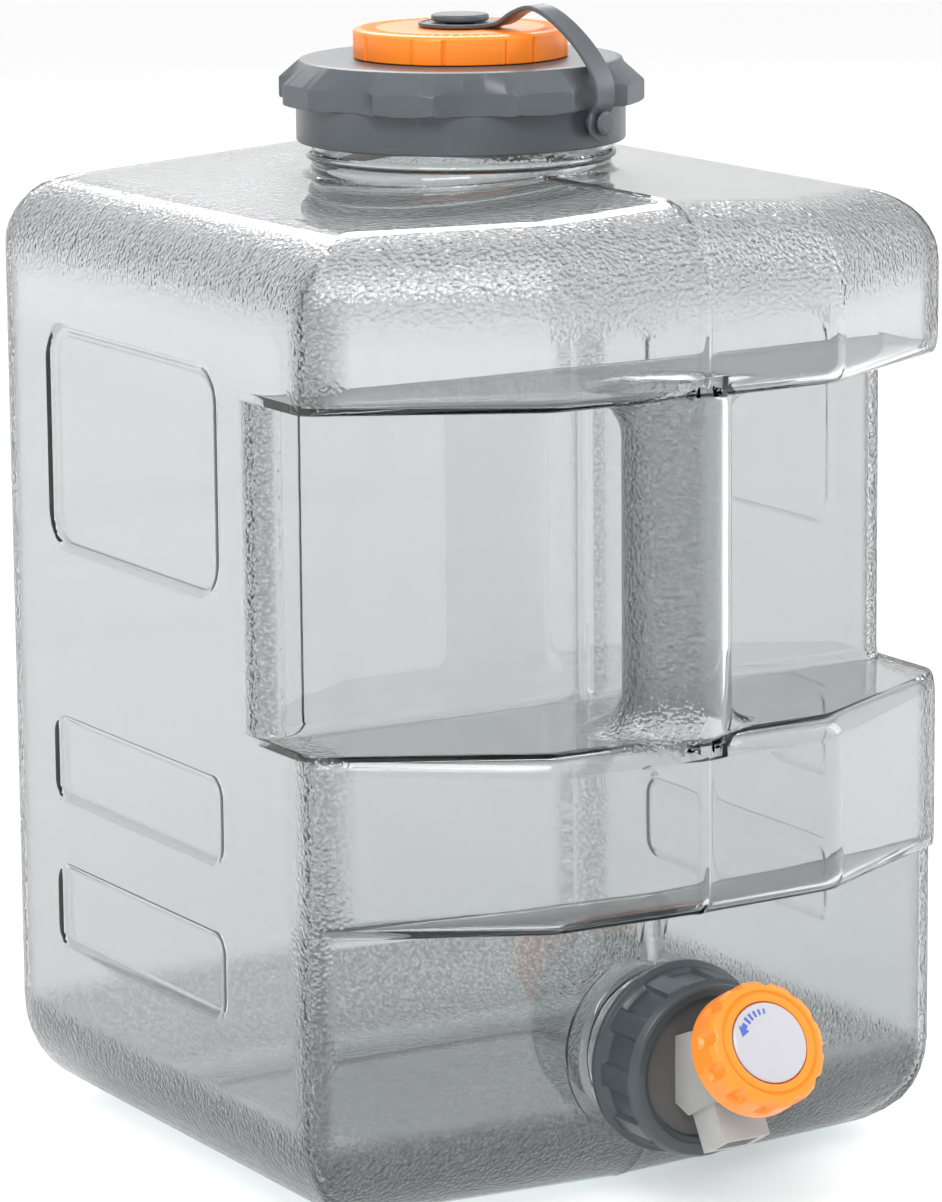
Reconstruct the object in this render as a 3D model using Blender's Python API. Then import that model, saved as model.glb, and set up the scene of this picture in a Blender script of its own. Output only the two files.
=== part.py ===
"""Eighteen litre water jug: blown clear body, screw lid with pour cap and vent, and a draw-off tap.

Metres, +Z up, -Y to the front (tap side). The origin is the middle of the footprint, tap included.
"""

from math import cos, pi, radians, sin

import bmesh
import bpy
from mathutils import Matrix, Vector

MM = 0.001

# Jug body, all in millimetres.
HALF_WIDTH = 125.0
REAR_Y = 161.4
REAR_DRAFT = 3.9
BASE_FRONT_Y = -80.2
BUMPER_Y = -114.6
BUMPER_FACET_Y = -112.5
FACET_X = 54.4
FRONT_CORNER_Y = -70.2
RECESS_Y = -38.5
BODY_TOP = 339.0
BUMPER_LOW = 106.2
BUMPER_HIGH = 167.5
SHOULDER_LOW = 279.5
TOP_RADIUS = 26.0
FOOT_RADIUS = 36.0
EDGE_RADIUS = 8.0
REAR_CORNER = 14.0
FRONT_CORNER = 9.0
WALL = 2.8
FLOOR = 4.5
PANEL_REAR_Y = 114.8
PANEL_FRONT_Y = -6.1
PANEL_DEPTH = 1.2
PANELS = ((209.8, 286.7, 12.0), (118.5, 147.0, 6.0), (64.7, 92.9, 6.0))
PUSH_UP = 2.0
POST_Y = -95.8
POST_RADIUS = 18.2

# Neck and lid.
NECK_Y = 41.6
NECK_RADIUS = 52.0
NECK_WALL = 3.0
NECK_TOP = 372.0
BEAD_Z = 346.2
LID_BOTTOM = 350.9
LID_RADIUS = 57.1
LID_BORE = 54.3
LID_PLATE = 375.0
LID_TOP = 379.2
LOBE_RADIUS = 64.0
LOBE_LOW = 364.6
LOBE_HIGH = 371.7
SHOULDER_RADIUS = 55.3
SCALLOPS = 8
SCALLOP_RADIUS = 22.0
SCALLOP_CENTRE = 81.0
SCALLOP_TURN = -26.0
POUR_RADIUS = 31.0
POUR_BORE = 27.0
POUR_TOP = 384.4
CAP_RADIUS = 37.3
CAP_BORE = 33.2
CAP_TOP = 389.5
CAP_CEILING = 386.5
CAP_GRIPS = 7
VENT_HOLE = 4.2
STEM_RADIUS = 3.7
KNOB_TOP = 394.0
STUD_AZIMUTH = 20.0
STUD_Z = 360.0
STRAP_WIDTH = 8.0
STRAP_THICK = 1.4
STUD_RADIUS = 2.5
STUD_HOLE = 2.8
STRAP_EYE = 2.9
CAP_EYE = 5.4
VENT_STOP = 2.1
VENT_KNOB_RADIUS = 10.0

# Tap. The valve axis leaves the inlet axis at VALVE_Y and rises by VALVE_TILT to the front.
TAP_Z = 54.5
SEAT_Y = -92.0
TAP_NECK_Y = -106.0
TAP_NECK_RADIUS = 24.0
TAP_BORE = 19.0
SEAT_RADIUS = 27.0
NUT_REAR_Y = -93.8
NUT_FRONT_Y = -115.8
NUT_RIM_RADIUS = 33.0
NUT_RADIUS = 30.6
NUT_MOUTH = 22.8
NUT_RIBS = 10
FLANGE_RADIUS = 23.8
VALVE_Y = -120.1
VALVE_TILT = 30.0
SEAT_DEPTH = 76.8
FLANGE_REAR = 108.6
FLANGE_FACE = 110.4
WASHER_FRONT = 112.0
WASHER_BORE = 17.6
GASKET_BORE = 19.2
SPIGOT_REAR = 84.0
SPIGOT_BORE = 14.0
SPOUT_BORE = 4.8
CORE_REAR = 5.4
STEM_NECK = 4.0
SCREW_HOLE = 1.9
DISC_RADIUS = 13.6
DISC_SEAT = 35.0
KNOB_BORE = 18.6
NOTCH_RADIUS = 2.7
CHAMBER_BORE = 8.5
BODY_HALF_WIDTH = 11.0
SPOUT_HALF_WIDTH = 9.0
SPOUT_HALF_DEPTH = 7.2
SPOUT_LENGTH = 24.5
KNOB_RADIUS = 21.5
KNOB_REAR = 21.0
KNOB_FRONT = 36.5
KNOB_NOTCHES = 12
GAP = 0.3
PAST = 5.0  # how far a cutter runs past the face it opens
WELD = 0.002

ROUND = 48
MID_ROUND = 32
SMALL_ROUND = 20
ARC_STEPS = 3

COLOURS = {
    "smoke_clear": ((0.62, 0.66, 0.65, 1.0), 0.08),
    "lid_grey": ((0.09, 0.105, 0.12, 1.0), 0.42),
    "nut_grey": ((0.045, 0.055, 0.06, 1.0), 0.40),
    "orange": ((0.92, 0.24, 0.03, 1.0), 0.35),
    "light_grey": ((0.45, 0.46, 0.45, 1.0), 0.40),
    "mid_grey": ((0.13, 0.125, 0.12, 1.0), 0.55),
    "white": ((0.80, 0.80, 0.84, 1.0), 0.35),
    "seal_rubber": ((0.55, 0.56, 0.56, 1.0), 0.60),
    "black_rubber": ((0.02, 0.02, 0.02, 1.0), 0.55),
    "steel": ((0.56, 0.57, 0.58, 1.0), 0.25),
}


def clear_scene():
    for old in list(bpy.data.objects):
        bpy.data.objects.remove(old)


def finish_of(name):
    """The shared material of that finish, made once."""
    found = bpy.data.materials.get(name)
    if found:
        return found
    colour, roughness = COLOURS[name]
    made = bpy.data.materials.new(name)
    made.use_nodes = True
    shader = made.node_tree.nodes["Principled BSDF"]
    shader.inputs["Base Color"].default_value = colour
    shader.inputs["Roughness"].default_value = roughness
    shader.inputs["Metallic"].default_value = 1.0 if name == "steel" else 0.0
    return made


def solid(points, faces):
    """A helper object from points in millimetres and faces that look outwards."""
    mesh = bpy.data.meshes.new("solid")
    mesh.from_pydata([Vector(p) * MM for p in points], [], faces)
    welded = bmesh.new()
    welded.from_mesh(mesh)
    bmesh.ops.remove_doubles(welded, verts=welded.verts, dist=WELD * MM)
    bmesh.ops.dissolve_degenerate(welded, edges=welded.edges, dist=WELD * MM)
    welded.to_mesh(mesh)
    welded.free()
    mesh.update()
    made = bpy.data.objects.new("solid", mesh)
    bpy.context.scene.collection.objects.link(made)
    return made


def placed(obj, matrix):
    """Bakes a matrix, whose translation is in millimetres, into the object's mesh."""
    scaled = matrix.copy()
    scaled.translation = matrix.translation * MM
    obj.data.transform(scaled)
    return obj


def turned(profile, steps=ROUND):
    """A solid of revolution about Z from (radius, height) points that run anticlockwise."""
    rings = []
    points = []
    for radius, height in profile:
        if radius < 1e-6:
            rings.append([len(points)] * steps)
            points.append((0.0, 0.0, height))
            continue
        rings.append(list(range(len(points), len(points) + steps)))
        points += [
            (radius * cos(2 * pi * i / steps), radius * sin(2 * pi * i / steps), height)
            for i in range(steps)
        ]
    faces = []
    for lower, upper in zip(rings, rings[1:] + rings[:1]):
        for i in range(steps):
            j = (i + 1) % steps
            corners = [lower[i], lower[j], upper[j], upper[i]]
            corners = [c for k, c in enumerate(corners) if c != corners[k - 1]]
            if len(corners) > 2:
                faces.append(corners)
    return solid(points, faces)


def disc(radius, low, high, steps=ROUND):
    return turned(((0.0, low), (radius, low), (radius, high), (0.0, high)), steps)


def ring(inner, outer, low, high, steps=ROUND):
    return turned(((inner, low), (outer, low), (outer, high), (inner, high)), steps)


def prism(outline, low, high):
    """An outline of (x, y) points, anticlockwise from above, drawn up from low to high."""
    count = len(outline)
    points = [(x, y, low) for x, y in outline] + [(x, y, high) for x, y in outline]
    faces = [list(range(count))[::-1], list(range(count, 2 * count))]
    for i in range(count):
        j = (i + 1) % count
        faces.append([i, j, count + j, count + i])
    return solid(points, faces)


def joined(base, tool, operation):
    """Applies one exact Boolean to base and removes the tool."""
    modifier = base.modifiers.new("shape", "BOOLEAN")
    modifier.operation = operation
    modifier.solver = "EXACT"
    modifier.object = tool
    graph = bpy.context.evaluated_depsgraph_get()
    mesh = bpy.data.meshes.new_from_object(base.evaluated_get(graph))
    base.modifiers.clear()
    base.data = mesh
    bpy.data.objects.remove(tool)
    return base


def add(base, *tools):
    for tool in tools:
        joined(base, tool, "UNION")
    return base


def cut(base, *tools):
    for tool in tools:
        joined(base, tool, "DIFFERENCE")
    return base


def piece(name, obj, finish, pivot=(0.0, 0.0, 0.0), parent=None):
    """Names a finished piece, gives it its material and puts its origin on its pivot."""
    obj.name = name
    obj.data.name = name
    obj.data.transform(Matrix.Translation(Vector(pivot) * -MM))
    obj.location = Vector(pivot) * MM
    obj.data.materials.clear()
    obj.data.materials.append(finish_of(finish))
    obj.data.shade_smooth()
    obj.data.set_sharp_from_angle(angle=radians(30))
    if parent:
        bpy.context.view_layer.update()
        obj.parent = parent
        obj.matrix_parent_inverse = parent.matrix_world.inverted()
    return obj


def pivot_empty(name, place, direction):
    """An empty whose Z axis is a joint's axis."""
    empty = bpy.data.objects.new(name, None)
    bpy.context.scene.collection.objects.link(empty)
    empty.location = Vector(place) * MM
    empty.rotation_mode = "QUATERNION"
    empty.rotation_quaternion = Vector((0, 0, 1)).rotation_difference(Vector(direction))
    bpy.context.view_layer.update()
    return empty


# Jug body


def moved_in(corners, distance):
    """A convex outline with every edge moved in by distance."""
    lines = []
    for (ax, ay), (bx, by) in zip(corners, corners[1:] + corners[:1]):
        edge = Vector((bx - ax, by - ay)).normalized()
        inward = Vector((-edge.y, edge.x))
        lines.append((Vector((ax, ay)) + inward * distance, edge))
    found = []
    for (p, d), (q, e) in zip(lines[-1:] + lines[:-1], lines):
        across = d.x * e.y - d.y * e.x
        if abs(across) < 1e-6:
            found.append(tuple(q))
            continue
        reach = ((q.x - p.x) * e.y - (q.y - p.y) * e.x) / across
        found.append(tuple(p + d * reach))
    return found


def rounded(corners, radii, steps=ARC_STEPS):
    """An outline whose corners are arcs. A corner of radius 0 stays one point."""
    outline = []
    count = len(corners)
    for i, radius in enumerate(radii):
        corner = Vector(corners[i])
        if radius == 0:
            outline.append(tuple(corner))
            continue
        back = (Vector(corners[i - 1]) - corner).normalized()
        ahead = (Vector(corners[(i + 1) % count]) - corner).normalized()
        half = back.angle(ahead) / 2
        middle = corner + (back + ahead).normalized() * radius / sin(half)
        start = corner + back * radius * cos(half) / sin(half) - middle
        for k in range(steps + 1):
            turn = Matrix.Rotation((pi - 2 * half) * k / steps, 2)
            outline.append(tuple(middle + turn @ start))
    return outline


def section(corner_y, facet_y, centre_y, inset):
    """One level outline of the body. The three depths say where its front stands."""
    corners = [
        (0.0, REAR_Y),
        (-HALF_WIDTH, REAR_Y - REAR_DRAFT),
        (-HALF_WIDTH, corner_y),
        (-FACET_X, facet_y),
        (0.0, centre_y),
        (FACET_X, facet_y),
        (HALF_WIDTH, corner_y),
        (HALF_WIDTH, REAR_Y - REAR_DRAFT),
    ]
    rear = max(REAR_CORNER - inset, 1.0)
    front = max(FRONT_CORNER - inset, 1.0)
    radii = (0, rear, front, 0, 0, 0, front, rear)
    return rounded(moved_in(corners, inset), radii)


def ledge(low_depths, high_depths, level, lower, upper):
    """Levels of a step between two fronts, with a rounded edge below and above it."""
    levels = []
    reach = abs(high_depths[2] - low_depths[2])
    for radius, first in ((lower, True), (upper, False)):
        for k in range(ARC_STEPS + 1):
            angle = pi / 2 * k / ARC_STEPS
            if first:
                share = radius * (1 - cos(angle)) / reach
                height = -radius * (1 - sin(angle))
            else:
                share = 1 - radius * (1 - sin(angle)) / reach
                height = radius * (1 - cos(angle))
            depths = [a + (b - a) * share for a, b in zip(low_depths, high_depths)]
            levels.append((level + height, depths, 0.0))
    return levels


def jug_form(inset):
    """The body's outer shape, or with an inset its inside, as a stack of levels."""
    base = (FRONT_CORNER_Y, BASE_FRONT_Y + 4.4, BASE_FRONT_Y)
    bumper = (FRONT_CORNER_Y, BUMPER_FACET_Y, BUMPER_Y)
    recess = (RECESS_Y, RECESS_Y, RECESS_Y)
    floor = FLOOR if inset else 0.0
    foot = FOOT_RADIUS - inset
    crown = TOP_RADIUS - inset
    outer = EDGE_RADIUS - inset
    inner = EDGE_RADIUS / 2 + inset
    levels = []
    for k in range(ARC_STEPS + 2):
        angle = pi / 2 * k / (ARC_STEPS + 1)
        levels.append((floor + foot * (1 - sin(angle)), base, foot * (1 - cos(angle))))
    levels = levels[::-1]
    levels += ledge(base, bumper, BUMPER_LOW + inset, inner, outer)
    levels += ledge(bumper, recess, BUMPER_HIGH - inset, outer, inner)
    levels += ledge(recess, bumper, SHOULDER_LOW + inset, inner, outer)
    for k in range(ARC_STEPS + 2):
        angle = pi / 2 * k / (ARC_STEPS + 1)
        top = BODY_TOP - inset - crown * (1 - sin(angle))
        levels.append((top, bumper, crown * (1 - cos(angle))))
    outlines = [
        [(x, y, height) for x, y in section(*depths, inset + share)]
        for height, depths, share in levels
    ]
    count = len(outlines[0])
    points = [p for outline in outlines for p in outline]
    faces = [list(range(count))[::-1]]
    for row in range(len(outlines) - 1):
        for i in range(count):
            j = (i + 1) % count
            a, b = row * count, (row + 1) * count
            faces.append([a + i, a + j, b + j, b + i])
    faces.append([(len(outlines) - 1) * count + i for i in range(count)])
    return solid(points, faces)


def panel_cutters():
    """The three shallow panels of each side."""
    cutters = []
    for low, high, radius in PANELS:
        corners = [
            (PANEL_FRONT_Y, low),
            (PANEL_REAR_Y, low),
            (PANEL_REAR_Y, high),
            (PANEL_FRONT_Y, high),
        ]
        outline = rounded(corners, (radius,) * 4)
        upright = Matrix(((0, 0, 1, 0), (1, 0, 0, 0), (0, 1, 0, 0), (0, 0, 0, 1)))
        for start in (HALF_WIDTH - PANEL_DEPTH, -HALF_WIDTH - 2.0):
            block = prism(outline, start, start + PANEL_DEPTH + 2.0)
            cutters.append(placed(block, upright))
    return cutters


def push_up_cutter():
    """The raised middle of the floor, which leaves a flat rim to stand on."""
    corners = [(-70.0, -26.0), (70.0, -26.0), (70.0, 108.0), (-70.0, 108.0)]
    return prism(rounded(corners, (14.0,) * 4), -1.0, PUSH_UP)


def facing_front(obj, place=(0.0, 0.0, TAP_Z)):
    """Lays a part turned about Z down, so that its +Z points to -Y."""
    return placed(obj, Matrix.Translation(Vector(place)) @ Matrix.Rotation(pi / 2, 4, "X"))


def make_jug_body():
    centre = Matrix.Translation(Vector((0.0, NECK_Y, 0.0)))
    post = Matrix.Translation(Vector((0.0, POST_Y, 0.0)))
    neck = (
        (0.0, BODY_TOP - 9.0),
        (NECK_RADIUS, BODY_TOP - 9.0),
        (NECK_RADIUS, BEAD_Z - 1.4),
        (NECK_RADIUS + 2.0, BEAD_Z - 0.8),
        (NECK_RADIUS + 2.0, BEAD_Z + 0.8),
        (NECK_RADIUS, BEAD_Z + 1.4),
        (NECK_RADIUS, NECK_TOP),
        (0.0, NECK_TOP),
    )
    tap_neck = (
        (0.0, SEAT_DEPTH),
        (SEAT_RADIUS, SEAT_DEPTH),
        (SEAT_RADIUS, -SEAT_Y),
        (TAP_NECK_RADIUS, -SEAT_Y),
        (TAP_NECK_RADIUS, -TAP_NECK_Y),
        (0.0, -TAP_NECK_Y),
    )
    shell = cut(jug_form(0.0), *panel_cutters(), push_up_cutter())
    add(
        shell,
        placed(turned(neck), centre),
        placed(disc(POST_RADIUS, BUMPER_HIGH - 5.0, SHOULDER_LOW + 5.0, MID_ROUND), post),
        facing_front(turned(tap_neck)),
    )
    hollow = add(
        jug_form(WALL),
        placed(disc(NECK_RADIUS - NECK_WALL, BODY_TOP - 12.0, NECK_TOP + PAST), centre),
        placed(disc(POST_RADIUS - WALL, BUMPER_HIGH - 12.0, SHOULDER_LOW + 12.0, MID_ROUND), post),
        facing_front(disc(TAP_BORE, 70.0, -TAP_NECK_Y + PAST)),
    )
    cut(shell, hollow)
    return piece("jug_body", shell, "smoke_clear")


# Lid


def on_neck(obj, azimuth=0.0):
    return placed(
        obj,
        Matrix.Translation(Vector((0.0, NECK_Y, 0.0))) @ Matrix.Rotation(azimuth, 4, "Z"),
    )


def front_azimuth(degrees):
    """The turn about Z that takes +X to this bearing, counted from -Y towards +X."""
    return radians(degrees - 90.0)


def make_screw_lid(parent):
    profile = (
        (LID_BORE, LID_BOTTOM),
        (LID_RADIUS - 0.6, LID_BOTTOM),
        (LID_RADIUS, LID_BOTTOM + 0.8),
        (LID_RADIUS, LOBE_LOW),
        (LOBE_RADIUS - 0.6, LOBE_LOW),
        (LOBE_RADIUS, LOBE_LOW + 0.6),
        (LOBE_RADIUS, LOBE_HIGH),
        (SHOULDER_RADIUS, LID_TOP - 0.4),
        (SHOULDER_RADIUS - 1.5, LID_TOP),
        (POUR_RADIUS, LID_TOP),
        (POUR_RADIUS, POUR_TOP),
        (POUR_BORE, POUR_TOP),
        (POUR_BORE, LID_PLATE),
        (LID_BORE, LID_PLATE),
    )
    lid = on_neck(turned(profile))
    for k in range(SCALLOPS):
        scallop = disc(SCALLOP_RADIUS, LOBE_LOW - 0.1, LID_TOP + 1.0, MID_ROUND)
        placed(scallop, Matrix.Translation(Vector((SCALLOP_CENTRE, 0.0, 0.0))))
        cut(lid, on_neck(scallop, front_azimuth(SCALLOP_TURN + 360.0 / SCALLOPS * k)))
    hole = disc(STUD_HOLE, LID_BORE - 3.0, LID_RADIUS + 3.0, SMALL_ROUND)
    cut(lid, radial(hole))
    pivot = (0.0, NECK_Y, LID_PLATE)
    return piece("screw_lid", lid, "lid_grey", pivot, parent)


def radial(obj):
    """Lays a part turned about Z along the stud's line, out from the lid's axis."""
    tip = Matrix.Translation(Vector((0.0, 0.0, STUD_Z))) @ Matrix.Rotation(pi / 2, 4, "Y")
    return on_neck(placed(obj, tip), front_azimuth(STUD_AZIMUTH))


def make_strap_stud(parent):
    profile = (
        (0.0, LID_BORE + 0.4),
        (STUD_RADIUS, LID_BORE + 0.4),
        (STUD_RADIUS, 57.5),
        (3.8, 57.5),
        (3.8, 60.0),
        (STUD_RADIUS, 60.0),
        (STUD_RADIUS, 62.9),
        (4.2, 62.9),
        (4.2, 63.8),
        (3.2, 64.5),
        (0.0, 64.5),
    )
    return piece("strap_stud", radial(turned(profile, SMALL_ROUND)), "lid_grey", parent=parent)


def make_lid_gasket(parent):
    gasket = on_neck(ring(48.5, 53.5, NECK_TOP + GAP, LID_PLATE - GAP, MID_ROUND))
    return piece("lid_gasket", gasket, "seal_rubber", (0.0, NECK_Y, LID_PLATE), parent)


def make_pour_cap(parent):
    profile = (
        (CAP_BORE, LID_TOP + GAP),
        (CAP_RADIUS, LID_TOP + GAP),
        (CAP_RADIUS, CAP_TOP - 2.0),
        (CAP_RADIUS - 0.7, CAP_TOP - 0.6),
        (CAP_RADIUS - 2.2, CAP_TOP),
        (6.2, CAP_TOP),
        (6.2, CAP_TOP - 1.5),
        (VENT_HOLE, CAP_TOP - 1.5),
        (VENT_HOLE, CAP_CEILING),
        (CAP_BORE, CAP_CEILING),
    )
    cap = on_neck(turned(profile, 6 * CAP_GRIPS))
    arc = 2 * pi / CAP_GRIPS / 3
    for k in range(CAP_GRIPS):
        start = front_azimuth(-40.5) + 2 * pi / CAP_GRIPS * k
        turns = [start + arc * i / 3 for i in range(4)]
        outline = [((CAP_RADIUS - 0.8) * cos(t), (CAP_RADIUS - 0.8) * sin(t)) for t in turns[::-1]]
        outline += [((CAP_RADIUS + 2) * cos(t), (CAP_RADIUS + 2) * sin(t)) for t in turns]
        cut(cap, on_neck(prism(outline[::-1], LID_TOP - 1.0, CAP_TOP - 2.6)))
    return piece("pour_cap", cap, "orange", (0.0, NECK_Y, LID_TOP), parent)


def make_cap_gasket(parent):
    gasket = on_neck(ring(POUR_BORE + 0.5, 32.5, POUR_TOP + GAP, CAP_CEILING - GAP, MID_ROUND))
    return piece("cap_gasket", gasket, "seal_rubber", (0.0, NECK_Y, POUR_TOP), parent)


def make_vent_seal(parent):
    seal = on_neck(ring(STEM_RADIUS + GAP, 5.9, CAP_TOP - 1.2, CAP_TOP - 0.1, SMALL_ROUND))
    return piece("vent_seal", seal, "black_rubber", (0.0, NECK_Y, CAP_TOP), parent)


def make_vent_plug(parent):
    profile = (
        (0.0, 379.5),
        (2.6, 379.5),
        (STEM_RADIUS, 381.5),
        (STEM_RADIUS, CAP_TOP + GAP),
        (5.0, CAP_TOP + GAP),
        (5.0, CAP_TOP + VENT_STOP),
        (VENT_KNOB_RADIUS - 0.6, CAP_TOP + VENT_STOP),
        (VENT_KNOB_RADIUS, CAP_TOP + VENT_STOP + 0.5),
        (VENT_KNOB_RADIUS, KNOB_TOP - 0.8),
        (VENT_KNOB_RADIUS - 1.0, KNOB_TOP),
        (0.0, KNOB_TOP),
    )
    plug = on_neck(turned(profile, SMALL_ROUND))
    return piece("vent_plug", plug, "lid_grey", (0.0, NECK_Y, CAP_TOP), parent)


def strap_route():
    """(radius, height) points of the strap's middle line, from the vent to the stud."""
    guides = (
        (13.0, CAP_TOP + 1.0),
        (20.0, CAP_TOP + 2.6),
        (27.0, CAP_TOP + 6.6),
        (34.5, CAP_TOP + 8.6),
        (44.0, CAP_TOP + 4.4),
        (54.5, CAP_TOP - 4.0),
        (61.8, CAP_TOP - 13.6),
        (63.2, CAP_TOP - 21.5),
        (61.1, STUD_Z + 3.0),
    )
    guides = [Vector(g) for g in guides]
    route = []
    for i in range(len(guides) - 1):
        before = guides[max(i - 1, 0)]
        after = guides[min(i + 2, len(guides) - 1)]
        for k in range(3):
            t = k / 3
            a, b = guides[i], guides[i + 1]
            route.append(
                0.5
                * (
                    2 * a
                    + (b - before) * t
                    + (2 * before - 5 * a + 4 * b - after) * t * t
                    + (3 * a - before - 3 * b + after) * t * t * t
                )
            )
    route.append(guides[-1])
    return route


def make_retaining_strap(parent):
    route = strap_route()
    points = []
    for i, here in enumerate(route):
        along = route[min(i + 1, len(route) - 1)] - route[max(i - 1, 0)]
        across = Vector((-along.y, along.x)).normalized() * STRAP_THICK / 2
        for side in (-1, 1):
            for edge in (-1, 1):
                spot = here + across * side
                points.append((spot.x, edge * STRAP_WIDTH / 2, spot.y))
    faces = [[0, 1, 3, 2]]
    for i in range(len(route) - 1):
        a, b = 4 * i, 4 * i + 4
        faces += [
            [a, b, b + 1, a + 1],
            [a + 1, b + 1, b + 3, a + 3],
            [a + 3, b + 3, b + 2, a + 2],
            [a + 2, b + 2, b, a],
        ]
    last = 4 * (len(route) - 1)
    faces.append([last, last + 2, last + 3, last + 1])
    band = on_neck(solid(points, faces), front_azimuth(STUD_AZIMUTH))
    eye = on_neck(disc(14.6, CAP_TOP + GAP, CAP_TOP + 1.7, MID_ROUND))
    lower = radial(disc(6.4, 60.4, 61.8, SMALL_ROUND))
    add(band, eye, lower)
    hole = on_neck(disc(CAP_EYE, CAP_TOP - 1.0, CAP_TOP + 3.0, SMALL_ROUND))
    cut(band, hole, radial(disc(STRAP_EYE, 55.0, 66.0, SMALL_ROUND)))
    return piece("retaining_strap", band, "lid_grey", (0.0, NECK_Y, CAP_TOP), parent)


# Tap


def on_valve(obj):
    """Lays a part turned about Z on the valve axis, its +Z towards the knob."""
    tilt = Matrix.Rotation(pi / 2 - radians(VALVE_TILT), 4, "X")
    return placed(obj, Matrix.Translation(Vector((0.0, VALVE_Y, TAP_Z))) @ tilt)


def valve_point(along, down):
    """(y, z) of a point by its distance along the valve axis and down towards the spout."""
    tilt = radians(VALVE_TILT)
    return (
        VALVE_Y - along * cos(tilt) - down * sin(tilt),
        TAP_Z + along * sin(tilt) - down * cos(tilt),
    )


def side_prism(outline, half_width):
    """A (y, z) outline, drawn out to both sides of the middle plane."""
    upright = Matrix(((0, 0, 1, 0), (1, 0, 0, 0), (0, 1, 0, 0), (0, 0, 0, 1)))
    return placed(prism(outline, -half_width, half_width), upright)


def make_tap_body(parent):
    spigot = (
        (SPIGOT_BORE, SPIGOT_REAR),
        (TAP_BORE - 0.8, SPIGOT_REAR),
        (TAP_BORE - 0.4, SPIGOT_REAR + 2.0),
        (TAP_BORE - 0.4, FLANGE_REAR),
        (FLANGE_RADIUS, FLANGE_REAR),
        (FLANGE_RADIUS, FLANGE_FACE),
        (SPIGOT_BORE, FLANGE_FACE),
    )
    housing = [
        (-109.4, 44.5),
        valve_point(-7.0, 11.0),
        valve_point(12.0, 11.0),
        valve_point(20.5, 11.0),
        valve_point(20.5, -11.0),
        valve_point(7.0, -14.0),
        (-109.4, 66.0),
    ]
    spout = [
        valve_point(-SPOUT_HALF_DEPTH, SPOUT_LENGTH),
        valve_point(SPOUT_HALF_DEPTH, SPOUT_LENGTH),
        valve_point(SPOUT_HALF_DEPTH, 0.0),
        valve_point(-SPOUT_HALF_DEPTH, 0.0),
    ]
    mouth = [
        valve_point(-SPOUT_BORE, SPOUT_LENGTH + 2.0),
        valve_point(SPOUT_BORE, SPOUT_LENGTH + 2.0),
        valve_point(SPOUT_BORE, 0.0),
        valve_point(-SPOUT_BORE, 0.0),
    ]
    body = facing_front(turned(spigot))
    add(body, side_prism(housing[::-1], BODY_HALF_WIDTH), side_prism(spout[::-1], SPOUT_HALF_WIDTH))
    cut(
        body,
        facing_front(disc(8.0, 100.0, 116.0, SMALL_ROUND)),
        on_valve(disc(CHAMBER_BORE, -7.0, 25.0, SMALL_ROUND)),
        side_prism(mouth[::-1], 6.2),
    )
    return piece("tap_body", body, "light_grey", (0.0, TAP_NECK_Y, TAP_Z), parent)


def make_tap_gasket(parent):
    rear = -TAP_NECK_Y + GAP
    front = FLANGE_REAR - GAP
    gasket = facing_front(ring(GASKET_BORE, TAP_NECK_RADIUS - 0.4, rear, front, MID_ROUND))
    return piece("tap_gasket", gasket, "black_rubber", (0.0, TAP_NECK_Y, TAP_Z), parent)


def make_tap_washer(parent):
    washer = facing_front(ring(WASHER_BORE, FLANGE_RADIUS, FLANGE_FACE + GAP, WASHER_FRONT, MID_ROUND))
    slot = [(-108.0, 30.0), (-118.0, 30.0), (-118.0, 80.0), (-108.0, 80.0)]
    cut(washer, side_prism(slot, BODY_HALF_WIDTH + GAP))
    return piece("tap_washer", washer, "mid_grey", (0.0, TAP_NECK_Y, TAP_Z), parent)


def make_tap_nut(parent):
    front = -NUT_FRONT_Y
    rear = -NUT_REAR_Y
    profile = (
        (TAP_NECK_RADIUS + 0.6, rear),
        (NUT_RIM_RADIUS - 0.5, rear),
        (NUT_RIM_RADIUS, rear + 0.6),
        (NUT_RIM_RADIUS, rear + 2.4),
        (NUT_RADIUS + 0.4, rear + 3.2),
        (NUT_RADIUS, front - 2.6),
        (NUT_RADIUS - 2.0, front),
        (NUT_MOUTH + 2.4, front),
        (NUT_MOUTH, front - 2.4),
        (NUT_MOUTH, front - 3.5),
        (TAP_NECK_RADIUS + 0.6, front - 3.5),
    )
    nut = facing_front(turned(profile, 4 * NUT_RIBS))
    step = 2 * pi / NUT_RIBS
    for k in range(NUT_RIBS):
        turns = [step * (k + 0.31 * (i / 3)) + radians(9) for i in range(4)]
        outline = [((NUT_RADIUS - 1.6) * cos(t), (NUT_RADIUS - 1.6) * sin(t)) for t in turns]
        outline += [(38.0 * cos(t), 38.0 * sin(t)) for t in turns[::-1]]
        cut(nut, facing_front(prism(outline[::-1], rear + 3.4, front - 2.8)))
    return piece("tap_nut", nut, "nut_grey", (0.0, TAP_NECK_Y, TAP_Z), parent)


def make_valve_gland(parent):
    gland = on_valve(ring(4.3, CHAMBER_BORE - GAP, 17.3, 20.4, SMALL_ROUND))
    return piece("valve_gland", gland, "light_grey", valve_pivot(), parent)


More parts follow.
